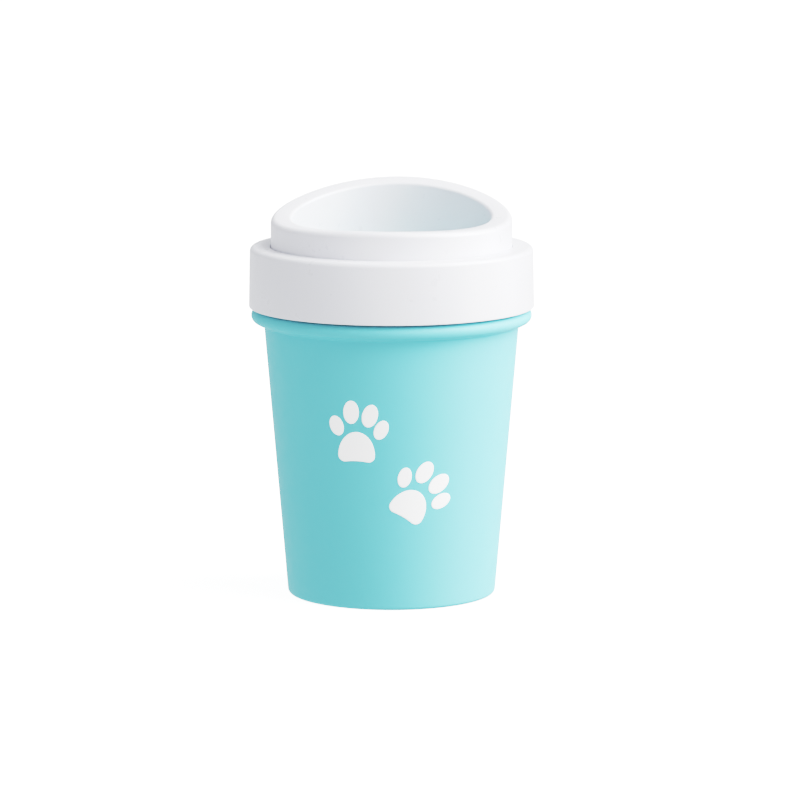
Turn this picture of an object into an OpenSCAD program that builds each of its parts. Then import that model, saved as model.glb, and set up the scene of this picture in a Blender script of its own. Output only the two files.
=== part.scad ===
// Paw washer cup: a tapered cup, a screw ring that holds a slanted mouth collar,
// and a soft brush insert that hangs in the mouth and lifts out for rinsing.
//
// The cup stands on the XY plane with its axis on Z. The printed side faces -Y and
// the high side of the mouth faces +Y. All sizes are in millimetres.

/* [Cup] */
// Outer radius of the wall at the foot
foot_r = 36.6; // [35:0.1:37.2]
// Outward lean of the wall: radius gained for each millimetre of height
wall_lean = 0.086; // [0.08:0.001:0.09]
// Thickness of the wall
cup_wall = 2.2; // [1.8:0.1:2.4]
// Radius of the rounded edge round the foot
foot_round = 1.5; // [1:0.1:3]
// Height of the floor inside the cup
floor_z = 4.4; // [4:0.1:8]
// Depth of the recess under the base, inside the standing ring
base_recess = 1.4; // [0.8:0.1:1.8]
// Height of the widest part of the bead
bead_z = 99.1; // [95:0.1:105]
// Outer radius of the bead
bead_r = 49.4; // [49:0.1:49.8]
// Radius of the bead's rounded nose
bead_nose = 2.5; // [1.8:0.1:2.6]

/* [Neck and thread] */
// Outer radius of the neck
neck_r = 46.2; // [46:0.1:46.4]
// Height of the neck above the bead
neck_h = 16.4; // [15:0.1:17]
// Rise of the lid for one whole turn
thread_lead = 18; // [18:0.5:20]
// Number of threads that start round the neck
thread_starts = 3; // [2:1:3]
// Height of each thread's ridge off its wall
thread_h = 1.2; // [0.9:0.1:1.2]
// Angle that each thread runs round the neck
thread_span = 150; // [90:5:160]

/* [Lid] */
// Outer radius of the screw ring at its lower edge
ring_r = 50.15; // [50.1:0.05:51]
// How much the ring narrows by its shoulder, in radius
ring_draft = 0.4; // [0.2:0.1:0.8]
// Gap between the bead and the ring's lower edge
ring_gap = 0.4; // [0.3:0.1:1]
// Radius of the ring's rounded shoulder edge
ring_round = 1.8; // [1:0.1:2]
// Outer radius of the mouth collar
collar_r = 42.4; // [42:0.1:42.8]
// Radius of the mouth
mouth_r = 34.9; // [34.8:0.1:35.4]
// Wall thickness of the collar
collar_wall = 2; // [1.6:0.1:2.2]
// Height of the rim's lowest point above the shoulder
rim_rise = 9; // [8:0.1:12]
// Distance of the rim's lowest point in front of the axis
rim_low_y = 24.5; // [15:0.5:28]
// Radius of the long curve that the rim follows
rim_curve = 200; // [190:1:260]
// Angle that the rim's high side is turned towards +X
rim_turn = 4.5; // [0:0.5:20]
// Thickness of the gasket under the collar
gasket_h = 1.2; // [1:0.1:1.4]

/* [Brush] */
// Outer radius of the brush sleeve
sleeve_r = 31.9; // [31:0.1:31.9]
// Wall thickness of the sleeve
sleeve_wall = 1.8; // [1.4:0.1:2.2]
// Height of the sleeve's lower end above the table
sleeve_low_z = 20; // [14:1:24]
// Number of panels of bristles, with a drain slot between each pair
panels = 8; // [6:1:10]
// Columns of bristles in each panel
panel_columns = 3; // [2:1:3]
// Bristles in each column
column_rows = 11; // [9:1:11]
// Length of a bristle
bristle_l = 13; // [10:0.5:14]
// Radius of a bristle at its root
bristle_r = 1.15; // [0.9:0.05:1.2]
// Radius of a bristle's round tip
bristle_tip_r = 0.65; // [0.5:0.05:0.8]

/* [Prints] */
// Sideways place of the upper print's pad
upper_x = -12; // [-14:0.1:-8]
// Height of the lower edge of the upper print's pad
upper_z = 53; // [50:0.1:60]
// Sideways place of the lower print's pad
lower_x = 3.8; // [0:0.1:6]
// Height of the lower edge of the lower print's pad
lower_z = 33.4; // [28:0.1:36]
// Clockwise turn of the lower print, in degrees
lower_turn = 32; // [20:1:40]
// Thickness of the ink
ink_t = 0.12; // [0.08:0.01:0.2]

/* [Hidden] */
$fn = 120;

teal = [0.52, 0.84, 0.87];
pale_teal = [0.72, 0.9, 0.91];
white = [0.96, 0.96, 0.96];
ink = [1, 1, 1];
seal_grey = [0.8, 0.82, 0.83];

eps = 0.01;          // how far a cutter passes a face
blend = 0.4;         // how far a ridge or a bristle is rooted in its wall
foot_ring = 4.5;     // width of the standing ring under the base
inner_round = 4;     // radius between the floor and the wall inside
bead_slope = 18;     // angle of the bead's underside from level
bead_fillet = 0.8;   // radius under the bead where it meets the wall
neck_wall = 2.2;     // thickness of the neck
lip_round = 0.5;     // radius of small moulded edges
thread_fit = 0.4;    // clearance round the threads
thread_root_w = 2.4; // width of a thread's ridge at its wall
thread_top_w = 1.1;  // width of a thread's ridge at its crest
thread_fade = 14;    // angle over which a thread rises from its wall
thread_tip = 0.04;   // share of a thread's height that its very ends keep
thread_rise = 3.5;   // height of the neck's thread above the bead at its start
thread_step = 5;     // angle between rings along a thread
flange_h = 2;        // thickness of the collar's flange
ring_top = 2.1;      // thickness of the ring's shoulder
ring_play = 0.2;     // play between the flange and the shoulder
ring_fit = 0.2;      // clearance between the collar and the ring's hole
snap_w = 0.7;        // height of the bead that keeps the ring on the collar
ledge_h = 2;         // thickness of the ledge that the brush hangs on
ledge_w = 2.7;       // width of that ledge
ledge_rise = 1;      // height of the ledge's top above the neck
sleeve_lip = 0.7;    // extra thickness of the sleeve's lower lip
sleeve_flange = 1.6; // thickness of the sleeve's flange
flange_fit = 0.5;    // clearance between the sleeve's flange and the mouth
slot_w = 2.6;        // width of a drain slot
slot_margin = 13;    // distance from a slot to the sleeve's ends
first_row_z = 27;    // height of the lowest bristles
row_pitch = 8;       // height between bristles in a column
print_margin = 10;   // unprinted band at the wall's two ends

// Heights up the middle of the stack, each resting on the one before.
bead_top_z = bead_z + bead_nose;
ring_z = bead_top_z + ring_gap;
neck_top_z = bead_top_z + neck_h;
flange_z = neck_top_z + gasket_h;
flange_top_z = flange_z + flange_h;
shoulder_z = flange_top_z + ring_play + ring_top;
rim_z = shoulder_z + rim_rise;
ledge_z = neck_top_z + ledge_rise;
thread_low_z = bead_top_z + thread_rise;
tall_z = rim_z + 30; // above the whole rim

// Radii through the lid, from the neck outwards.
skirt_r = neck_r + thread_h + thread_fit;
flange_r = skirt_r - ring_top / 2;
snap_r = neck_r + ring_fit / 2;

function wall_r(z) = foot_r + wall_lean * z;

// A unit vector from one point to another.
function towards(a, b) = (b - a) / norm(b - a);

// The triangle-like web between a corner and an arc that touches both its edges.
// Taken away it rounds an outer corner, and added it fills an inner one.
module corner_web(before, corner, after, r) {
    a = towards(corner, before);
    b = towards(corner, after);
    half = acos(a * b) / 2;
    centre = corner + (a + b) / norm(a + b) * r / sin(half);
    difference() {
        polygon([corner, corner + a * r / tan(half), centre, corner + b * r / tan(half)]);
        translate(centre) circle(r);
    }
}

// A hollow ring between two radii and two heights.
module ring_section(inner, outer, low, high) {
    translate([inner, low]) square([outer - inner, high - low]);
}

// A helical ridge. It stands outwards when h is positive and inwards when it is negative.
module thread_ridge(wall, h, from_angle) {
    steps = ceil(thread_span / thread_step);
    root = wall - sign(h) * blend;
    function fade(a) = max(thread_tip, min(1, a / thread_fade, (thread_span - a) / thread_fade));
    function at(r, a, z) = [r * cos(a + from_angle), r * sin(a + from_angle), z];
    function section(a, z, crest) = [
        at(root, a, z - thread_root_w / 2),
        at(crest, a, z - thread_top_w / 2),
        at(crest, a, z + thread_top_w / 2),
        at(root, a, z + thread_root_w / 2)
    ];
    rings = [
        for (i = [0 : steps])
            let (a = thread_span * i / steps)
            section(a, thread_low_z + thread_lead * a / 360, wall + h * fade(a))
    ];
    points = [for (ring = rings) each h > 0 ? ring : [ring[3], ring[2], ring[1], ring[0]]];
    sides = [
        for (i = [0 : steps - 1], j = [0 : 3])
            [4 * i + j, 4 * i + (j + 1) % 4, 4 * i + 4 + (j + 1) % 4, 4 * i + 4 + j]
    ];
    ends = [[3, 2, 1, 0], [for (j = [0 : 3]) 4 * steps + j]];
    polyhedron(points, concat(sides, ends));
}

// All the ridges of one multi-start thread. The lid's ridges start half way between
// the neck's, so that at any turn each runs down the middle of a gap.
module thread(wall, h, from_angle) {
    for (i = [0 : thread_starts - 1])
        thread_ridge(wall, h, from_angle + i * 360 / thread_starts);
}

// The outside of the tapered wall, rounded where it meets the base.
module cup_outline() {
    foot = [foot_r, 0];
    top = [wall_r(bead_top_z), bead_top_z];
    difference() {
        polygon([[0, 0], foot, top, [0, bead_top_z]]);
        corner_web([0, 0], foot, top, foot_round);
    }
}

// The bead: a round nose with a sloping underside that runs into the wall.
module bead_outline() {
    nose = [bead_r - bead_nose, bead_z];
    leave = nose + bead_nose * [sin(bead_slope), -cos(bead_slope)];
    run = (leave[0] - wall_r(leave[1])) / (cos(bead_slope) - wall_lean * sin(bead_slope));
    corner = leave - run * [cos(bead_slope), sin(bead_slope)];
    below_z = corner[1] - 2 * bead_nose;
    below = [wall_r(below_z), below_z];
    core_r = neck_r - neck_wall;
    translate(nose) circle(bead_nose);
    polygon([[core_r, bead_top_z], [nose[0], bead_top_z], nose, leave, corner, [core_r, corner[1]]]);
    corner_web(leave, corner, below, bead_fillet);
}

// The hollow inside the cup, widening into the neck.
module cup_hollow() {
    low = [wall_r(floor_z) - cup_wall, floor_z];
    widen_z = bead_z - bead_nose;
    high = [wall_r(widen_z) - cup_wall, widen_z];
    neck_in = neck_r - neck_wall;
    difference() {
        polygon([
            [0, floor_z],
            low,
            high,
            [neck_in, bead_top_z],
            [neck_in, neck_top_z + eps],
            [0, neck_top_z + eps]
        ]);
        corner_web([0, floor_z], low, high, inner_round);
    }
}

module cup_shell() {
    recess_r = foot_r - foot_round - foot_ring;
    color(teal) union() {
        rotate_extrude() difference() {
            union() {
                cup_outline();
                bead_outline();
                ring_section(0, neck_r, bead_top_z - bead_nose, neck_top_z);
            }
            cup_hollow();
            ring_section(0, recess_r, -eps, base_recess);
        }
        thread(neck_r, thread_h, 0);
    }
}

// The screw ring's section: skirt, shoulder and the bead that keeps it on the collar.
module ring_outline() {
    foot = [ring_r, ring_z];
    edge = [ring_r - ring_draft, shoulder_z];
    hole_r = collar_r + ring_fit;
    under_z = shoulder_z - ring_top;
    snap_z = flange_z - ring_play - snap_w;
    difference() {
        polygon([
            [skirt_r, ring_z],
            foot,
            edge,
            [hole_r, shoulder_z],
            [hole_r, under_z],
            [skirt_r, under_z]
        ]);
        corner_web(foot, edge, [hole_r, shoulder_z], ring_round);
        corner_web([skirt_r, ring_z], foot, edge, lip_round);
    }
    polygon([
        [skirt_r + blend, snap_z - snap_w],
        [snap_r, snap_z],
        [snap_r, snap_z + snap_w],
        [skirt_r + blend, snap_z + snap_w]
    ]);
}

module screw_ring() {
    color(white) union() {
        rotate_extrude() ring_outline();
        thread(skirt_r, -thread_h, 180 / thread_starts);
    }
}

// Everything above the rim's long curve, or above that curve lowered by depth.
module above_rim(depth) {
    rotate([0, 0, -rim_turn])
        translate([0, -rim_low_y, rim_z + rim_curve])
            rotate([0, 90, 0])
                cylinder(h = 3 * collar_r, r = rim_curve + depth, center = true);
}

// The collar before its rim is cut: ledge, throat, flange and outer wall.
module collar_outline() {
    low_z = ledge_z - ledge_h;
    ledge_r = mouth_r - ledge_w;
    throat_r = mouth_r + collar_wall;
    polygon([
        [ledge_r, low_z],
        [throat_r, low_z],
        [throat_r, flange_z],
        [flange_r, flange_z],
        [flange_r, flange_top_z],
        [collar_r, flange_top_z],
        [collar_r, tall_z],
        [mouth_r, tall_z],
        [mouth_r, ledge_z],
        [ledge_r, ledge_z]
    ]);
}

module mouth_collar() {
    color(white) difference() {
        rotate_extrude() collar_outline();
        above_rim(0);
        difference() {
            rotate_extrude()
                ring_section(mouth_r + collar_wall, collar_r - collar_wall, flange_z - eps, tall_z);
            above_rim(collar_wall);
        }
    }
}

module lid_gasket() {
    color(seal_grey) rotate_extrude()
        ring_section(neck_r - neck_wall - blend, snap_r - ring_fit, neck_top_z, flange_z);
}

// One drain slot, cut outwards along +X.
module slot_cutter() {
    low = sleeve_low_z + slot_margin;
    high = ledge_z - slot_margin;
    rotate([90, 0, 90]) linear_extrude(sleeve_r + eps) {
        translate([-slot_w / 2, low]) square([slot_w, high - low]);
        for (z = [low, high]) translate([0, z]) circle(d = slot_w);
    }
}

module brush_sleeve() {
    inner = sleeve_r - sleeve_wall;
    color(pale_teal) difference() {
        rotate_extrude() {
            ring_section(inner, sleeve_r, sleeve_low_z, ledge_z + sleeve_flange);
            ring_section(inner, mouth_r - flange_fit, ledge_z, ledge_z + sleeve_flange);
            ring_section(inner - sleeve_lip, sleeve_r, sleeve_low_z, sleeve_low_z + ledge_h);
        }
        for (i = [1 : panels]) rotate([0, 0, (i - 0.5) * 360 / panels]) slot_cutter();
    }
}

// One bristle, pointing at the axis from the sleeve's inner wall.
module bristle() {
    translate([sleeve_r - sleeve_wall + blend, 0, 0]) rotate([0, -90, 0]) {
        cylinder(h = bristle_l, r1 = bristle_r, r2 = bristle_tip_r);
        translate([0, 0, bristle_l]) sphere(bristle_tip_r);
    }
}

// One panel's bristles. Every other column stands half a pitch higher.
module bristle_panel(panel) {
    column_angle = 360 / (panels * panel_columns);
    color(pale_teal)
        for (column = [0 : panel_columns - 1], row = [0 : column_rows - 1]) {
            place = (panel - 1) * panel_columns + column;
            angle = (panel - 1) * 360 / panels + (column - (panel_columns - 1) / 2) * column_angle;
            stagger = (place % 2) * row_pitch / 2;
            rotate([0, 0, angle]) translate([0, 0, first_row_z + row * row_pitch + stagger]) bristle();
        }
}

module ellipse(a, b) {
    polygon([for (t = [0 : 10 : 350]) [a * cos(t), b * sin(t)]]);
}

// The large pad of a paw print, standing on the X axis with a slightly hollow lower edge.
module pad_2d() {
    half_w = 6.35;
    high = 10.7;
    corner = 2.3;
    hollow = 22;
    dip = 0.35;
    difference() {
        union() {
            intersection() {
                translate([0, corner]) ellipse(half_w, high - corner);
                translate([-half_w, corner]) square([2 * half_w, high]);
            }
            for (side = [-1, 1]) translate([side * (half_w - corner), corner]) circle(corner);
            translate([corner - half_w, 0]) square([2 * (half_w - corner), corner + eps]);
        }
        translate([0, dip - hollow]) circle(hollow);
    }
}

// The four toes: place from the middle of the pad's lower edge, lean to the right, and size.
module toes_2d() {
    half_w = 2.7;
    half_h = 4.1;
    for (toe = [[-6.9, 12.6, -18, 0.87], [-1.9, 17.6, 0, 1], [4.6, 16.5, 15, 1], [8.5, 11.6, 25, 0.87]])
        translate([toe[0], toe[1]]) rotate(-toe[2]) ellipse(half_w * toe[3], half_h * toe[3]);
}

// Ink on the cup's wall, in the outline of the children as seen from the front.
module printed(x, z, turn) {
    low = print_margin;
    high = bead_z - print_margin;
    color(ink) intersection() {
        translate([x, 0, z]) rotate([90, 0, 0]) linear_extrude(2 * bead_r) rotate(-turn) children();
        rotate_extrude() polygon([
            [wall_r(low), low],
            [wall_r(low) + ink_t, low],
            [wall_r(high) + ink_t, high],
            [wall_r(high), high]
        ]);
    }
}

cup_shell();
printed(upper_x, upper_z, 0) pad_2d();  // upper_print_pad
printed(upper_x, upper_z, 0) toes_2d();  // upper_print_toes
printed(lower_x, lower_z, lower_turn) pad_2d();  // lower_print_pad
printed(lower_x, lower_z, lower_turn) toes_2d();  // lower_print_toes
mouth_collar();
lid_gasket();
screw_ring();
brush_sleeve();
for (i = [1 : panels])
    bristle_panel(i);
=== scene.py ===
"""The looks of the paw washer cup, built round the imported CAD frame. All sizes are in metres."""
import math
import random

import bmesh
import bpy
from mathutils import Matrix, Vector


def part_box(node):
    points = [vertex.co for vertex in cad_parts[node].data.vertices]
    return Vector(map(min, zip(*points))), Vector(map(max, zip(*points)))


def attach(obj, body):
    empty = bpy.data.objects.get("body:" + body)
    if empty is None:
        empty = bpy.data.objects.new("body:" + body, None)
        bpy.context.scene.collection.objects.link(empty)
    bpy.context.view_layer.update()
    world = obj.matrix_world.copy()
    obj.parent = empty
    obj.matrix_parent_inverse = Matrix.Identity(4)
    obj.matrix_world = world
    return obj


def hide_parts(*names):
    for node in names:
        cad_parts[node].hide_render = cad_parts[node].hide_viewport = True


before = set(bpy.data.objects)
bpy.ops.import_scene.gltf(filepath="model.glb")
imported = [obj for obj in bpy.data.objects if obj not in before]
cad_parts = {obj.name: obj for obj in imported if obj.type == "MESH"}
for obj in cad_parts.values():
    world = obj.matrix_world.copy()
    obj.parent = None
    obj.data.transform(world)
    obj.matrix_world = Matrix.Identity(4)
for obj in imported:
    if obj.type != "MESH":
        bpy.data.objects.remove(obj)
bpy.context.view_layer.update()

MM = 0.001

# Places that the frame gives.
CUP_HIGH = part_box("cup_shell")[1]
RING_LOW, RING_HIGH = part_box("screw_ring")
COLLAR_LOW, COLLAR_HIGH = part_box("mouth_collar")
GASKET_LOW, GASKET_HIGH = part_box("lid_gasket")
SLEEVE_LOW, SLEEVE_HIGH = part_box("brush_sleeve")

# The cup, as the CAD model has it.
FOOT_R = 36.6 * MM
WALL_LEAN = 0.086
CUP_WALL = 2.2 * MM
FLOOR_Z = 4.4 * MM
BASE_RECESS = 1.4 * MM
RECESS_R = 30.6 * MM
GATE_R = 1.9 * MM           # the small pit that the moulding gate leaves under the base
GATE_DEPTH = 0.25 * MM
FOOT_ROUND = 1.5 * MM
INNER_ROUND = 4 * MM
BEAD_Z = 99.1 * MM
BEAD_R = 49.4 * MM
BEAD_NOSE = 2.5 * MM
BEAD_SLOPE = math.radians(18)
BEAD_FILLET = 0.8 * MM
BEAD_TOP_Z = BEAD_Z + BEAD_NOSE
NECK_R = 46.2 * MM
NECK_IN_R = 44.0 * MM
NECK_TOP_Z = CUP_HIGH.z

# The three-start thread on the neck and in the ring.
THREAD_LEAD = 18 * MM
THREAD_STARTS = 3
THREAD_H = 1.2 * MM
THREAD_SPAN = 150           # degrees that each ridge runs round the wall
THREAD_FADE = 14            # degrees over which it rises from the wall
THREAD_ROOT_W = 2.4 * MM
THREAD_TOP_W = 1.1 * MM
THREAD_LOW_Z = BEAD_TOP_Z + 3.5 * MM
THREAD_GRID = 0.17 * MM     # height between the points that the ridges are raised from

# The lid.
RING_R = RING_HIGH.x
RING_DRAFT = 0.4 * MM
RING_Z = RING_LOW.z
SHOULDER_Z = RING_HIGH.z
RING_TOP = 2.1 * MM
RING_ROUND = 1.8 * MM
HOLE_ROUND = 0.35 * MM
RING_PLAY = 0.2 * MM
SKIRT_R = 47.8 * MM
SNAP_R = 46.3 * MM
SNAP_W = 0.7 * MM
COLLAR_R = 42.4 * MM
RING_HOLE_R = COLLAR_R + 0.2 * MM
COLLAR_WALL = 2.0 * MM
MOUTH_R = 34.9 * MM
RIM_ROUND = 2 * MM
MOUTH_ROUND = 1.2 * MM
HOLLOW_ROUND = 0.8 * MM     # in the hollow under the rim
FLANGE_R = COLLAR_HIGH.x
FLANGE_Z = GASKET_HIGH.z
FLANGE_TOP_Z = FLANGE_Z + 2 * MM
GASKET_W = 2.5 * MM
LEDGE_R = 32.2 * MM
LEDGE_Z = COLLAR_LOW.z + 2 * MM
RIM_Z = SHOULDER_Z + 9 * MM
RIM_LOW_Y = 24.5 * MM
RIM_CURVE = 200 * MM
RIM_TURN = math.radians(4.5)

# The brush insert.
SLEEVE_R = 31.9 * MM
SLEEVE_IN_R = 30.1 * MM
SLEEVE_FLANGE_R = SLEEVE_HIGH.x
SLEEVE_ROUND = 0.8 * MM
LIP_R = SLEEVE_IN_R - 0.7 * MM
LIP_H = 2 * MM
PANELS = 8
PANEL_COLUMNS = 3
COLUMN_ROWS = 11
FIRST_ROW_Z = 27 * MM
ROW_PITCH = 8 * MM
BRISTLE_L = 13 * MM
BRISTLE_R = 1.15 * MM
BRISTLE_TIP_R = 0.65 * MM
BRISTLE_ROOT = 0.4 * MM     # how deep a bristle's foot lies in the sleeve's wall
FLARE_L = 1.4 * MM
FLARE_R = 0.7 * MM
MOST_SAG = 0.5 * MM
MOST_LIFT = 0.1 * MM
MOST_LEAN = 0.35 * MM
SLOT_W = 2.6 * MM
SLOT_MARGIN = 13 * MM
SLOT_LOW_Z = SLEEVE_LOW.z + SLOT_MARGIN
SLOT_HIGH_Z = LEDGE_Z - SLOT_MARGIN

# The prints: where the middle of the pad's lower edge is, and how far it is turned.
UPPER_PRINT = (-12.0 * MM, 53.0 * MM, 0)
LOWER_PRINT = (3.8 * MM, 33.4 * MM, math.radians(32))
INK = 0.12 * MM
INK_ROOT = 0.05 * MM        # how deep the film's back lies in the wall

# The studio. The response pairs each amount of light with the amount that the picture shows.
RESPONSE = [(0, 0), (0.16, 0.13), (0.5, 0.48), (0.9, 0.68), (1.6, 0.83), (3.0, 0.95), (4.0, 1.0)]
FLOOR_GLOW = 3.1
ROOM_COLOUR = (0.97, 0.985, 1.0)
ROOM_BELOW = 1.31           # strength of the light from the room's lower half
ROOM_ABOVE = 0.81
ROOM_BLEND = 0.15           # how far below and above level the two halves blend
ROOM_SEEN = 5.0             # how bright the room looks to the camera: plain white
CAMERA_LENS = 232.4         # millimetres, as is the sensor's width
CAMERA_SENSOR = 36
CAMERA_PLACE = (0.0030, -1.8, 0.354)
CAMERA_AIM = (0.0030, 0, 0.0685)
LAMP_AIM = (0, 0, 0.07)
SOFTBOX = 2.4               # side of each square lamp
KEY_PLACE, KEY_POWER = (1.503, -0.403, 1.626), 163
SIDE_PLACE, SIDE_POWER = (2.125, 0, 0.639), 74
FLOOR_REACH = 6.0
FLOOR_CELLS = 12

# Colours of the pieces, and the ink's glow, which is painted light that makes the prints brighter.
TEAL = (0.175, 0.585, 0.66)
LID_WHITE = (0.785, 0.79, 0.845)
INK_WHITE = (0.95, 0.95, 0.95)
SEAL_GREY = (0.62, 0.65, 0.67)
BRUSH_TEAL = (0.42, 0.78, 0.81)
PAPER_WHITE = (0.87, 0.87, 0.87)
INK_PAINTED_GLOW = 0.35

SEGMENTS = 256              # round the large turned pieces
ARC_POINTS = 9              # along each rounded corner of an outline
EDGE = 0.3 * MM             # the rounding of small moulded edges
SOFT_EDGE = 0.5 * MM
SHARP_EDGE = 0.2 * MM
TINY = 1e-6
rng = random.Random(7)


# ---------------------------------------------------------------- shapes

def wall_r(z):
    """The cup's outer radius at a height."""
    return FOOT_R + WALL_LEAN * z


def rounded(corners, closed=True):
    """A (radius, height) outline from corners (r, z, rounding), each corner turned into an arc."""
    count = len(corners)
    points = []
    for i, (r, z, rounding) in enumerate(corners):
        here = Vector((r, z))
        is_end = not closed and i in (0, count - 1)
        if rounding <= 0 or is_end:
            points.append((r, z))
            continue
        before = (Vector(corners[i - 1][:2]) - here).normalized()
        after = (Vector(corners[(i + 1) % count][:2]) - here).normalized()
        half = before.angle(after) / 2
        centre = here + (before + after).normalized() * rounding / math.sin(half)
        start = here + before * rounding / math.tan(half) - centre
        sweep = (here + after * rounding / math.tan(half) - centre).angle_signed(start)
        for k in range(ARC_POINTS):
            turn = sweep * k / (ARC_POINTS - 1)
            cos, sin = math.cos(turn), math.sin(turn)
            offset = Vector((start.x * cos - start.y * sin, start.x * sin + start.y * cos))
            points.append(tuple(centre + offset))
    return points


def filled(points, low_z, high_z, step):
    """The outline with extra points on its upright stretch between two heights."""
    out = []
    for a, b in zip(points, points[1:] + points[:1]):
        out.append(a)
        inside = min(a[1], b[1]) >= low_z - step and max(a[1], b[1]) <= high_z + step
        if inside and abs(b[1] - a[1]) > 2 * step:
            count = int(abs(b[1] - a[1]) / step)
            out += [(a[0] + (b[0] - a[0]) * k / count, a[1] + (b[1] - a[1]) * k / count)
                    for k in range(1, count)]
    return out


def new_piece(name, verts, faces, sharp=35):
    """A smooth-shaded mesh object, with its edges sharper than that many degrees left crisp."""
    mesh = bpy.data.meshes.new(name)
    mesh.from_pydata(verts, [], faces)
    bm = bmesh.new()
    bm.from_mesh(mesh)
    bmesh.ops.recalc_face_normals(bm, faces=bm.faces)
    bm.to_mesh(mesh)
    bm.free()
    mesh.shade_smooth()
    mesh.set_sharp_from_angle(angle=math.radians(sharp))
    piece = bpy.data.objects.new(name, mesh)
    bpy.context.scene.collection.objects.link(piece)
    return piece


def revolve(name, outline_at, segments=SEGMENTS):
    """A closed solid from a function that gives the (radius, height) outline at each angle.
    An outline that starts and ends on the axis is left open there, and closes in two poles."""
    verts, index = [], []
    poles = {}
    for s in range(segments):
        angle = 2 * math.pi * s / segments
        row = []
        for k, (r, z) in enumerate(outline_at(angle)):
            if r < TINY / 10:
                if k not in poles:
                    poles[k] = len(verts)
                    verts.append((0, 0, z))
                row.append(poles[k])
            else:
                row.append(len(verts))
                verts.append((r * math.cos(angle), r * math.sin(angle), z))
        index.append(row)
    count = len(index[0])
    last = count - 1 if poles else count
    faces = []
    for s in range(segments):
        a, b = index[s], index[(s + 1) % segments]
        for k in range(last):
            j = (k + 1) % count
            corners = list(dict.fromkeys((a[k], b[k], b[j], a[j])))
            if len(corners) > 2:
                faces.append(corners)
    return new_piece(name, verts, faces)


def smoothstep(low, high, x):
    """A soft step from 0 to 1 between two values."""
    t = min(1, max(0, (x - low) / (high - low)))
    return t * t * (3 - 2 * t)


def ridge(angle, z, from_angle):
    """The height of the thread's ridge, from 0 to THREAD_H, at a place on its wall."""
    height = 0
    for start in range(THREAD_STARTS):
        along = (math.degrees(angle) - from_angle - start * 360 / THREAD_STARTS) % 360
        if along > THREAD_SPAN:
            continue
        off = abs(z - THREAD_LOW_Z - THREAD_LEAD * along / 360)
        fade = smoothstep(0, THREAD_FADE, min(along, THREAD_SPAN - along))
        height = max(height, fade * (1 - smoothstep(THREAD_TOP_W / 2, THREAD_ROOT_W / 2, off)))
    return height * THREAD_H


def threaded(outline, wall, from_angle, outwards):
    """The outline as a function of angle, with the thread's ridges raised from the given wall."""
    def at(angle):
        return [
            (r + outwards * ridge(angle, z, from_angle), z) if abs(r - wall) < TINY else (r, z)
            for r, z in outline
        ]
    return at


# ---------------------------------------------------------------- the cup

def cup_outline():
    nose_r, nose_z = BEAD_R - BEAD_NOSE, BEAD_Z
    leave_r = nose_r + BEAD_NOSE * math.sin(BEAD_SLOPE)
    leave_z = nose_z - BEAD_NOSE * math.cos(BEAD_SLOPE)
    drop = leave_r - wall_r(leave_z)
    run = drop / (math.cos(BEAD_SLOPE) - WALL_LEAN * math.sin(BEAD_SLOPE))
    corner_z = leave_z - run * math.sin(BEAD_SLOPE)
    # The slope and the flat top, carried on to where they would meet, with the nose as the rounding.
    slope_up = (BEAD_TOP_Z - leave_z) / math.tan(BEAD_SLOPE)
    tip = (leave_r + slope_up, BEAD_TOP_Z, BEAD_NOSE)
    widen_z = BEAD_Z - BEAD_NOSE
    outline = rounded([
        (0, BASE_RECESS + GATE_DEPTH, 0),
        (GATE_R - EDGE, BASE_RECESS + GATE_DEPTH, SHARP_EDGE / 2),
        (GATE_R, BASE_RECESS, SHARP_EDGE / 2),
        (RECESS_R, BASE_RECESS, 2 * EDGE),
        (RECESS_R, 0, EDGE),
        (FOOT_R, 0, FOOT_ROUND),
        (wall_r(corner_z), corner_z, BEAD_FILLET),
        tip,
        (NECK_R, BEAD_TOP_Z, SOFT_EDGE),
        (NECK_R, NECK_TOP_Z, SOFT_EDGE),
        (NECK_IN_R, NECK_TOP_Z, SOFT_EDGE),
        (NECK_IN_R, BEAD_TOP_Z, INNER_ROUND / 2),
        (wall_r(widen_z) - CUP_WALL, widen_z, INNER_ROUND * 3 / 4),
        (wall_r(FLOOR_Z) - CUP_WALL, FLOOR_Z, INNER_ROUND),
        (0, FLOOR_Z, 0),
    ], closed=False)
    return filled(outline, BEAD_TOP_Z, NECK_TOP_Z, THREAD_GRID)


def make_cup():
    cup = revolve("cup", threaded(cup_outline(), NECK_R, 0, 1))
    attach(cup, "cup")
    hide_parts("cup_shell")
    return cup


# ---------------------------------------------------------------- the lid

def make_ring():
    snap_high = FLANGE_Z - RING_PLAY
    snap_low = snap_high - 2 * SNAP_W
    outline = rounded([
        (SKIRT_R, RING_Z, 2 * SHARP_EDGE),
        (RING_R, RING_Z, SOFT_EDGE),
        (RING_R - RING_DRAFT, SHOULDER_Z, RING_ROUND),
        (RING_HOLE_R, SHOULDER_Z, HOLE_ROUND),
        (RING_HOLE_R, SHOULDER_Z - RING_TOP, SHARP_EDGE),
        (SKIRT_R, SHOULDER_Z - RING_TOP, EDGE),
        (SKIRT_R, snap_high, 0),
        (SNAP_R, snap_high, SHARP_EDGE),
        (SNAP_R, snap_high - SNAP_W, SHARP_EDGE),
        (SKIRT_R, snap_low, 0),
    ])
    outline = filled(outline, RING_Z, snap_low, THREAD_GRID)
    ring = revolve("screw_ring_fine", threaded(outline, SKIRT_R, 180 / THREAD_STARTS, -1))
    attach(ring, "ring")
    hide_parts("screw_ring")
    return ring


def rim_z(angle, r):
    """The height of the slanted rim, which follows one long curve."""
    along = r * math.sin(angle + RIM_TURN)
    return RIM_Z + RIM_CURVE - math.sqrt(RIM_CURVE ** 2 - (along + RIM_LOW_Y) ** 2)


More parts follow.
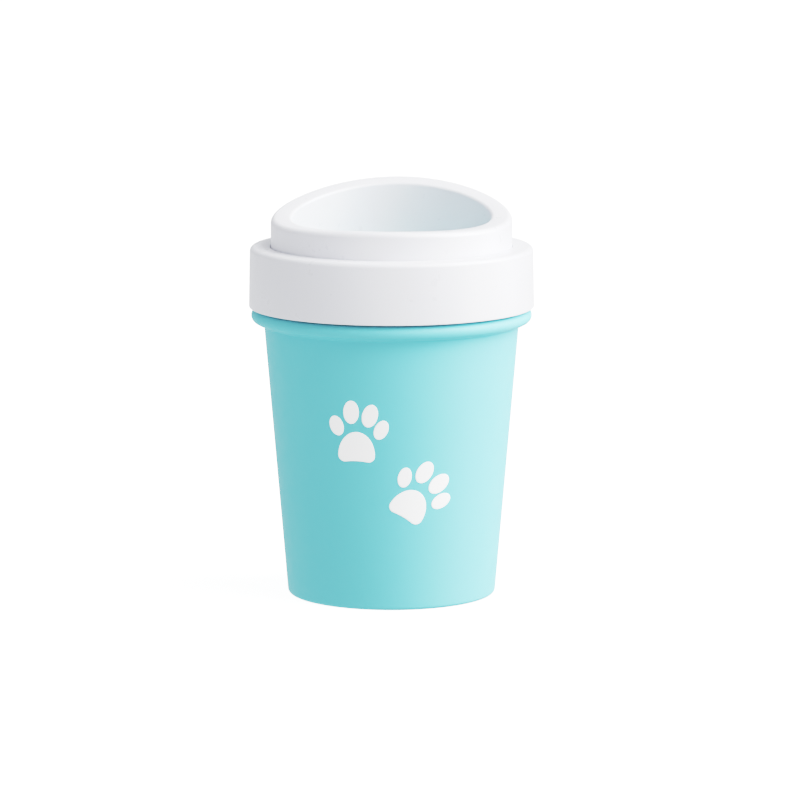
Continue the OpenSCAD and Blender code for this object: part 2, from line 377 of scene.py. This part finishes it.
def collar_outline(angle):
    throat_r = MOUTH_R + COLLAR_WALL
    inside_r = COLLAR_R - COLLAR_WALL
    return rounded([
        (LEDGE_R, COLLAR_LOW.z, 2 * SHARP_EDGE),
        (throat_r, COLLAR_LOW.z, 2 * SHARP_EDGE),
        (throat_r, rim_z(angle, throat_r) - COLLAR_WALL, HOLLOW_ROUND),
        (inside_r, rim_z(angle, inside_r) - COLLAR_WALL, HOLLOW_ROUND),
        (inside_r, FLANGE_Z, EDGE),
        (FLANGE_R, FLANGE_Z, EDGE),
        (FLANGE_R, FLANGE_TOP_Z, EDGE),
        (COLLAR_R, FLANGE_TOP_Z, EDGE),
        (COLLAR_R, rim_z(angle, COLLAR_R), RIM_ROUND),
        (MOUTH_R, rim_z(angle, MOUTH_R), MOUTH_ROUND),
        (MOUTH_R, LEDGE_Z, SOFT_EDGE),
        (LEDGE_R, LEDGE_Z, 2 * SHARP_EDGE),
    ])


def make_collar():
    collar = revolve("mouth_collar_fine", collar_outline)
    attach(collar, "collar")
    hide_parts("mouth_collar")
    return collar


def make_gasket():
    inner, outer = GASKET_HIGH.x - GASKET_W, GASKET_HIGH.x
    outline = rounded([
        (inner, GASKET_LOW.z, EDGE),
        (outer, GASKET_LOW.z, EDGE),
        (outer, GASKET_HIGH.z, EDGE),
        (inner, GASKET_HIGH.z, EDGE),
    ])
    gasket = revolve("gasket_fine", lambda angle: outline)
    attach(gasket, "collar")
    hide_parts("lid_gasket")
    return gasket


# ---------------------------------------------------------------- the brush insert

def slot_cutters():
    """One object with a round-ended bar through the sleeve's wall for each drain slot."""
    verts, faces = [], []
    past_wall, steps = 3 * MM, 12
    near, far = SLEEVE_IN_R - past_wall, SLEEVE_R + past_wall
    for panel in range(PANELS):
        turn = (panel + 0.5) * 2 * math.pi / PANELS
        out = Vector((math.cos(turn), math.sin(turn), 0))
        side = Vector((-math.sin(turn), math.cos(turn), 0))
        loop = []
        for middle, begin in ((SLOT_HIGH_Z, 0), (SLOT_LOW_Z, math.pi)):
            for k in range(steps + 1):
                a = begin + math.pi * k / steps
                rise = Vector((0, 0, middle + SLOT_W / 2 * math.sin(a)))
                loop.append(side * SLOT_W / 2 * math.cos(a) + rise)
        first, count = len(verts), len(loop)
        verts += [out * near + p for p in loop] + [out * far + p for p in loop]
        faces.append([first + k for k in range(count)][::-1])
        faces.append([first + count + k for k in range(count)])
        for k in range(count):
            j = (k + 1) % count
            faces.append([first + k, first + j, first + count + j, first + count + k])
    return new_piece("slot_cutters", verts, faces)


def applied(piece):
    """The piece with its modifiers made part of its mesh."""
    bpy.context.view_layer.update()
    evaluated = piece.evaluated_get(bpy.context.evaluated_depsgraph_get())
    done = bpy.data.meshes.new_from_object(evaluated)
    piece.modifiers.clear()
    piece.data = done
    return piece


def make_sleeve():
    outline = rounded([
        (LIP_R, SLEEVE_LOW.z, SLEEVE_ROUND),
        (SLEEVE_R, SLEEVE_LOW.z, SLEEVE_ROUND),
        (SLEEVE_R, LEDGE_Z, SHARP_EDGE),
        (SLEEVE_FLANGE_R, LEDGE_Z, 2 * SHARP_EDGE),
        (SLEEVE_FLANGE_R, SLEEVE_HIGH.z, 2 * EDGE),
        (SLEEVE_IN_R, SLEEVE_HIGH.z, SLEEVE_ROUND),
        (SLEEVE_IN_R, SLEEVE_LOW.z + LIP_H * 3 / 2, SLEEVE_ROUND),
        (LIP_R, SLEEVE_LOW.z + LIP_H, SOFT_EDGE),
    ])
    sleeve = revolve("sleeve_fine", lambda angle: outline)
    cutters = slot_cutters()
    cut = sleeve.modifiers.new("slots", "BOOLEAN")
    cut.operation = "DIFFERENCE"
    cut.solver = "EXACT"
    cut.object = cutters
    soften = sleeve.modifiers.new("soft edges", "BEVEL")
    soften.width = EDGE
    soften.segments = 2
    soften.limit_method = "ANGLE"
    soften.angle_limit = math.radians(50)
    applied(sleeve)
    bpy.data.objects.remove(cutters)
    sleeve.data.shade_smooth()
    sleeve.data.set_sharp_from_angle(angle=math.radians(45))
    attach(sleeve, "insert")
    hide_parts("brush_sleeve")
    return sleeve


def bristle_profile():
    """(distance from the root, radius) along one bristle: a flared root, a taper and a round tip."""
    flare = [(FLARE_L * t, BRISTLE_R + (1 - t) ** 2 * FLARE_R) for t in (0, 0.25, 0.5, 0.75)]
    taper = [
        (BRISTLE_L * t, BRISTLE_R + (BRISTLE_TIP_R - BRISTLE_R) * t)
        for t in (0.11, 0.25, 0.4, 0.55, 0.7, 0.85, 1)
    ]
    tip = [
        (BRISTLE_L + BRISTLE_TIP_R * math.sin(a), BRISTLE_TIP_R * math.cos(a))
        for a in map(math.radians, (22, 44, 66, 82))
    ]
    return flare + taper + tip


def add_bristle(verts, faces, angle, z, sides=14):
    """One bristle at a place on the sleeve's inner wall, sagging and leaning a little."""
    inward = Vector((-math.cos(angle), -math.sin(angle), 0))
    side = Vector((-math.sin(angle), math.cos(angle), 0))
    up = Vector((0, 0, 1))
    root = -inward * (SLEEVE_IN_R + BRISTLE_ROOT) + up * z
    sag = rng.uniform(-MOST_SAG, MOST_LIFT)
    lean = rng.uniform(-MOST_LEAN, MOST_LEAN)
    first = len(verts)
    profile = bristle_profile()
    for s, r in profile:
        t = (s / BRISTLE_L) ** 2
        centre = root + inward * s + up * sag * t + side * lean * t
        for k in range(sides):
            a = 2 * math.pi * k / sides
            verts.append(centre + side * r * math.cos(a) + up * r * math.sin(a))
    rings = len(profile)
    for i in range(rings - 1):
        for k in range(sides):
            j = (k + 1) % sides
            row, above = first + i * sides, first + (i + 1) * sides
            faces.append([row + k, row + j, above + j, above + k])
    faces.append([first + k for k in range(sides)])
    faces.append([first + (rings - 1) * sides + k for k in range(sides)])


def make_bristles(panel):
    verts, faces = [], []
    column_angle = 2 * math.pi / (PANELS * PANEL_COLUMNS)
    for column in range(PANEL_COLUMNS):
        place = panel * PANEL_COLUMNS + column
        angle = (place - (PANEL_COLUMNS - 1) / 2) * column_angle
        stagger = (place % 2) * ROW_PITCH / 2
        for row in range(COLUMN_ROWS):
            add_bristle(verts, faces, angle, FIRST_ROW_Z + row * ROW_PITCH + stagger)
    bristles = new_piece(f"bristles_{panel + 1}_fine", verts, faces)
    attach(bristles, "insert")
    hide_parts(f"bristles_{panel + 1}")
    return bristles


# ---------------------------------------------------------------- the prints

def ellipse(x, z, a, b, tilt, steps=72):
    """Points round an ellipse whose top leans clockwise by tilt degrees."""
    t = math.radians(-tilt)
    points = []
    for k in range(steps):
        u = 2 * math.pi * k / steps
        px, pz = a * math.cos(u), b * math.sin(u)
        points.append((x + px * math.cos(t) - pz * math.sin(t), z + px * math.sin(t) + pz * math.cos(t)))
    return points


def pad_shape():
    """The large pad: a dome on a rounded lower edge that is slightly hollow."""
    half_w, high, corner, hollow_r, hollow = 6.35, 10.7, 2.3, 22, 0.35
    dome = [
        (half_w * math.cos(a), corner + (high - corner) * math.sin(a))
        for a in map(math.radians, range(0, 181, 4))
    ]
    reach = half_w - corner
    left = [
        (-reach - corner * math.cos(a), corner - corner * math.sin(a))
        for a in map(math.radians, range(10, 81, 10))
    ]
    edge = [
        (x / 8 * reach, max(0, hollow - hollow_r + math.sqrt(hollow_r ** 2 - (x / 8 * reach) ** 2)))
        for x in range(-8, 9)
    ]
    right = [(-x, z) for x, z in left[::-1]]
    return [(x * MM, z * MM) for x, z in dome + left + edge + right]


def toe_shapes():
    """The four toes: place from the middle of the pad's lower edge, lean to the right, and size."""
    half_w, half_h = 2.7 * MM, 4.1 * MM
    toes = [(-6.9, 12.6, -18, 0.87), (-1.9, 17.6, 0, 1), (4.6, 16.5, 15, 1), (8.5, 11.6, 25, 0.87)]
    return [ellipse(x * MM, z * MM, half_w * size, half_h * size, tilt) for x, z, tilt, size in toes]


def add_film(verts, faces, shape, place):
    """A thin film of ink on the wall, with the given outline as seen from the front."""
    x0, z0, turn = place
    cos, sin = math.cos(-turn), math.sin(-turn)
    outline = [(x0 + x * cos - z * sin, z0 + x * sin + z * cos) for x, z in shape]
    mid_x = sum(x for x, z in outline) / len(outline)
    mid_z = sum(z for x, z in outline) / len(outline)
    # Each ring's share of the outline's size and how proud of the wall it stands, from the buried
    # back edge, over the rounded front edge, to the middle of the front.
    rings = [(1, -INK_ROOT), (1, INK * 0.45), (0.985, INK * 0.85), (0.96, INK)]
    rings += [(t, INK) for t in (0.85, 0.7, 0.55, 0.4, 0.2)]
    first, count = len(verts), len(outline)
    for share, proud in rings:
        for x, z in outline:
            px, pz = mid_x + (x - mid_x) * share, mid_z + (z - mid_z) * share
            r = wall_r(pz) + proud
            verts.append((px, -math.sqrt(r * r - px * px), pz))
    for i in range(len(rings) - 1):
        for k in range(count):
            j = (k + 1) % count
            row, above = first + i * count, first + (i + 1) * count
            faces.append([row + k, row + j, above + j, above + k])
    faces.append([first + (len(rings) - 1) * count + k for k in range(count)])
    faces.append([first + k for k in range(count)][::-1])


def make_print(name, shapes, place, node):
    verts, faces = [], []
    for shape in shapes:
        add_film(verts, faces, shape, place)
    film = new_piece(name, verts, faces, sharp=60)
    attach(film, "cup")
    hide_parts(node)
    return film


# ---------------------------------------------------------------- materials

def new_material(name, colour, roughness):
    """A material with its tree, its main shader and its object coordinates."""
    material = bpy.data.materials.new(name)
    material.use_nodes = True
    tree = material.node_tree
    shader = tree.nodes["Principled BSDF"]
    shader.inputs["Base Color"].default_value = (*colour, 1)
    shader.inputs["Roughness"].default_value = roughness
    coords = tree.nodes.new("ShaderNodeTexCoord").outputs["Object"]
    return material, tree, shader, coords


def noise(tree, coords, size, detail=3, roughness=0.5, stretch=(1, 1, 1)):
    """A noise value whose features are about that size."""
    mapping = tree.nodes.new("ShaderNodeMapping")
    mapping.inputs["Scale"].default_value = stretch
    tree.links.new(coords, mapping.inputs["Vector"])
    node = tree.nodes.new("ShaderNodeTexNoise")
    node.inputs["Scale"].default_value = 1 / size
    node.inputs["Detail"].default_value = detail
    node.inputs["Roughness"].default_value = roughness
    tree.links.new(mapping.outputs["Vector"], node.inputs["Vector"])
    return node.outputs["Fac"]


def spread(tree, value, low, high, from_low=0.3, from_high=0.7):
    """The value mapped to a range. Left alone, it takes the span that noise mostly stays in."""
    node = tree.nodes.new("ShaderNodeMapRange")
    node.inputs["From Min"].default_value = from_low
    node.inputs["From Max"].default_value = from_high
    node.inputs["To Min"].default_value = low
    node.inputs["To Max"].default_value = high
    tree.links.new(value, node.inputs["Value"])
    return node.outputs["Result"]


def mixed(tree, factor, first, second):
    """A colour between two, by a factor."""
    node = tree.nodes.new("ShaderNodeMix")
    node.data_type = "RGBA"
    node.inputs["A"].default_value = (*first, 1)
    node.inputs["B"].default_value = (*second, 1)
    tree.links.new(factor, node.inputs["Factor"])
    return node.outputs["Result"]


def bumped(tree, shader, layers):
    """Bump from (height value, distance) layers, one on another."""
    normal = None
    for height, distance in layers:
        node = tree.nodes.new("ShaderNodeBump")
        node.inputs["Strength"].default_value = 1
        node.inputs["Distance"].default_value = distance
        tree.links.new(height, node.inputs["Height"])
        if normal is not None:
            tree.links.new(normal, node.inputs["Normal"])
        normal = node.outputs["Normal"]
    tree.links.new(normal, shader.inputs["Normal"])


def set_tint(tree, shader, factor, colour, low, high):
    """A base colour that varies between two shares of one colour, by a factor."""
    tint = mixed(tree, factor, tinted(colour, low), tinted(colour, high))
    tree.links.new(tint, shader.inputs["Base Color"])


def set_roughness(tree, shader, factor, low, high):
    """A roughness that varies between two values, by a factor."""
    tree.links.new(spread(tree, factor, low, high), shader.inputs["Roughness"])


def tinted(colour, share):
    """A colour made a little darker or lighter."""
    return tuple(min(1, c * share) for c in colour)


def cup_plastic():
    """Satin polypropylene: a very fine moulded grain, faint flow marks and a slightly uneven tint."""
    material, tree, shader, coords = new_material("cup plastic", TEAL, 0.5)
    flow = noise(tree, coords, 30 * MM, 2, stretch=(1, 1, 0.35))
    set_tint(tree, shader, flow, TEAL, 0.97, 1.03)
    set_roughness(tree, shader, noise(tree, coords, 6 * MM, 4), 0.46, 0.54)
    shader.inputs["Specular IOR Level"].default_value = 0.25
    shader.inputs["Subsurface Weight"].default_value = 0.12
    shader.inputs["Subsurface Radius"].default_value = (0.6, 1, 1)
    shader.inputs["Subsurface Scale"].default_value = 1.5 * MM
    waves = noise(tree, coords, 14 * MM, 1)
    grain = noise(tree, coords, 0.35 * MM, 2)
    bumped(tree, shader, [(waves, 0.05 * MM), (grain, 0.006 * MM)])
    return material


def lid_plastic():
    """White polypropylene with a soft gloss, barely uneven where it cooled."""
    material, tree, shader, coords = new_material("lid plastic", LID_WHITE, 0.3)
    set_tint(tree, shader, noise(tree, coords, 25 * MM, 2), LID_WHITE, 0.985, 1.01)
    set_roughness(tree, shader, noise(tree, coords, 5 * MM, 4), 0.27, 0.35)
    shader.inputs["Specular IOR Level"].default_value = 0.7
    shader.inputs["Subsurface Weight"].default_value = 0.15
    shader.inputs["Subsurface Radius"].default_value = (1, 0.95, 0.9)
    shader.inputs["Subsurface Scale"].default_value = 1.5 * MM
    waves = noise(tree, coords, 12 * MM, 1)
    grain = noise(tree, coords, 0.4 * MM, 2)
    bumped(tree, shader, [(waves, 0.04 * MM), (grain, 0.003 * MM)])
    return material


def print_ink():
    """Screen-printed white ink: a fine mesh grain and slightly matt, with a painted glow that brightens
    it.
    """
    material, tree, shader, coords = new_material("print ink", INK_WHITE, 0.5)
    # The ink glows: painted light that makes the prints shine brighter than the lamps light them.
    shader.inputs["Emission Color"].default_value = (1, 1, 1, 1)
    shader.inputs["Emission Strength"].default_value = INK_PAINTED_GLOW
    grain = noise(tree, coords, 0.5 * MM, 2)
    set_tint(tree, shader, grain, INK_WHITE, 0.97, 1.03)
    set_roughness(tree, shader, noise(tree, coords, 3 * MM, 3), 0.42, 0.55)
    bumped(tree, shader, [(grain, 0.006 * MM)])
    return material


def silicone(name, colour, see_through):
    """Soft moulded silicone: matt, a little translucent, with a fine dusty grain."""
    material, tree, shader, coords = new_material(name, colour, 0.5)
    set_tint(tree, shader, noise(tree, coords, 4 * MM, 5, 0.6), colour, 0.94, 1.05)
    set_roughness(tree, shader, noise(tree, coords, 1.5 * MM, 3), 0.42, 0.6)
    shader.inputs["Subsurface Weight"].default_value = see_through
    shader.inputs["Subsurface Radius"].default_value = (1, 1, 1)
    shader.inputs["Subsurface Scale"].default_value = 2 * MM
    shader.inputs["Sheen Weight"].default_value = 0.15
    shader.inputs["Sheen Roughness"].default_value = 0.5
    bumped(tree, shader, [(noise(tree, coords, 0.6 * MM, 2), 0.008 * MM)])
    return material


def floor_paper():
    """Plain white studio paper, with a glow of its own so that it stays white."""
    material, tree, shader, coords = new_material("studio paper", PAPER_WHITE, 0.8)
    set_tint(tree, shader, noise(tree, coords, 3 * MM, 3), PAPER_WHITE, 0.995, 1.005)
    shader.inputs["Emission Color"].default_value = (1, 1, 1, 1)
    shader.inputs["Emission Strength"].default_value = FLOOR_GLOW
    return material


def paint(piece, material):
    piece.data.materials.clear()
    piece.data.materials.append(material)


# ---------------------------------------------------------------- the studio

def look_at(thing, target):
    """Turns a camera or lamp to face a point."""
    thing.rotation_euler = (Vector(target) - thing.location).to_track_quat("-Z", "Y").to_euler()


def make_camera():
    camera = bpy.data.objects.new("camera", bpy.data.cameras.new("camera"))
    bpy.context.scene.collection.objects.link(camera)
    camera.data.lens = CAMERA_LENS
    camera.data.sensor_width = CAMERA_SENSOR
    camera.location = CAMERA_PLACE
    look_at(camera, CAMERA_AIM)
    bpy.context.scene.camera = camera


def make_floor():
    verts, faces = [], []
    lines = [FLOOR_REACH * (2 * i / FLOOR_CELLS - 1) for i in range(FLOOR_CELLS + 1)]
    for x in lines:
        verts += [(x, y, 0) for y in lines]
    for i in range(FLOOR_CELLS):
        for j in range(FLOOR_CELLS):
            a = i * len(lines) + j
            b = a + len(lines)
            faces.append([a, b, b + 1, a + 1])
    floor = new_piece("floor", verts, faces)
    # The world's lower half lights the object from below instead, more softly than white paper would.
    floor.visible_diffuse = False
    floor.visible_glossy = False
    paint(floor, floor_paper())


def make_softbox(name, place, power):
    """A large square lamp that faces the cup."""
    data = bpy.data.lights.new(name, "AREA")
    data.shape = "SQUARE"
    data.size = SOFTBOX
    data.energy = power
    lamp = bpy.data.objects.new(name, data)
    bpy.context.scene.collection.objects.link(lamp)
    lamp.location = place
    look_at(lamp, LAMP_AIM)


def make_world():
    """A soft room: a little brighter below than above, and plain white to the camera."""
    world = bpy.data.worlds.new("studio")
    bpy.context.scene.world = world
    world.use_nodes = True
    tree = world.node_tree
    background = tree.nodes["Background"]
    background.inputs["Color"].default_value = (*ROOM_COLOUR, 1)
    direction = tree.nodes.new("ShaderNodeTexCoord").outputs["Generated"]
    height = tree.nodes.new("ShaderNodeSeparateXYZ")
    tree.links.new(direction, height.inputs["Vector"])
    room = spread(tree, height.outputs["Z"], ROOM_BELOW, ROOM_ABOVE, -ROOM_BLEND, ROOM_BLEND)
    to_camera = tree.nodes.new("ShaderNodeLightPath").outputs["Is Camera Ray"]
    pick = tree.nodes.new("ShaderNodeMix")
    pick.inputs["B"].default_value = ROOM_SEEN
    tree.links.new(to_camera, pick.inputs["Factor"])
    tree.links.new(room, pick.inputs["A"])
    tree.links.new(pick.outputs["Result"], background.inputs["Strength"])


def set_response():
    """Gives the camera a soft shoulder, so that bright sides turn pale and don't burn out."""
    view = bpy.context.scene.view_settings
    view.view_transform = "Standard"
    view.look = "None"
    view.use_curve_mapping = True
    mapping = view.curve_mapping
    mapping.clip_max_x = RESPONSE[-1][0]
    curve = mapping.curves[3]
    curve.points[0].location = RESPONSE[0]
    curve.points[1].location = RESPONSE[-1]
    for light, shown in RESPONSE[1:-1]:
        curve.points.new(light, shown)
    mapping.update()


def make_studio():
    make_camera()
    make_floor()
    make_softbox("key", KEY_PLACE, KEY_POWER)
    make_softbox("side", SIDE_PLACE, SIDE_POWER)
    make_world()
    set_response()


# ---------------------------------------------------------------- the scene

make_studio()

teal_plastic, white_plastic, ink = cup_plastic(), lid_plastic(), print_ink()
seal = silicone("gasket silicone", SEAL_GREY, 0.2)
brush = silicone("brush silicone", BRUSH_TEAL, 0.35)

paint(make_cup(), teal_plastic)
paint(make_ring(), white_plastic)
paint(make_collar(), white_plastic)
paint(make_gasket(), seal)
paint(make_sleeve(), brush)
for panel in range(PANELS):
    paint(make_bristles(panel), brush)
paint(make_print("upper_pad_ink", [pad_shape()], UPPER_PRINT, "upper_print_pad"), ink)
paint(make_print("upper_toes_ink", toe_shapes(), UPPER_PRINT, "upper_print_toes"), ink)
paint(make_print("lower_pad_ink", [pad_shape()], LOWER_PRINT, "lower_print_pad"), ink)
paint(make_print("lower_toes_ink", toe_shapes(), LOWER_PRINT, "lower_print_toes"), ink)
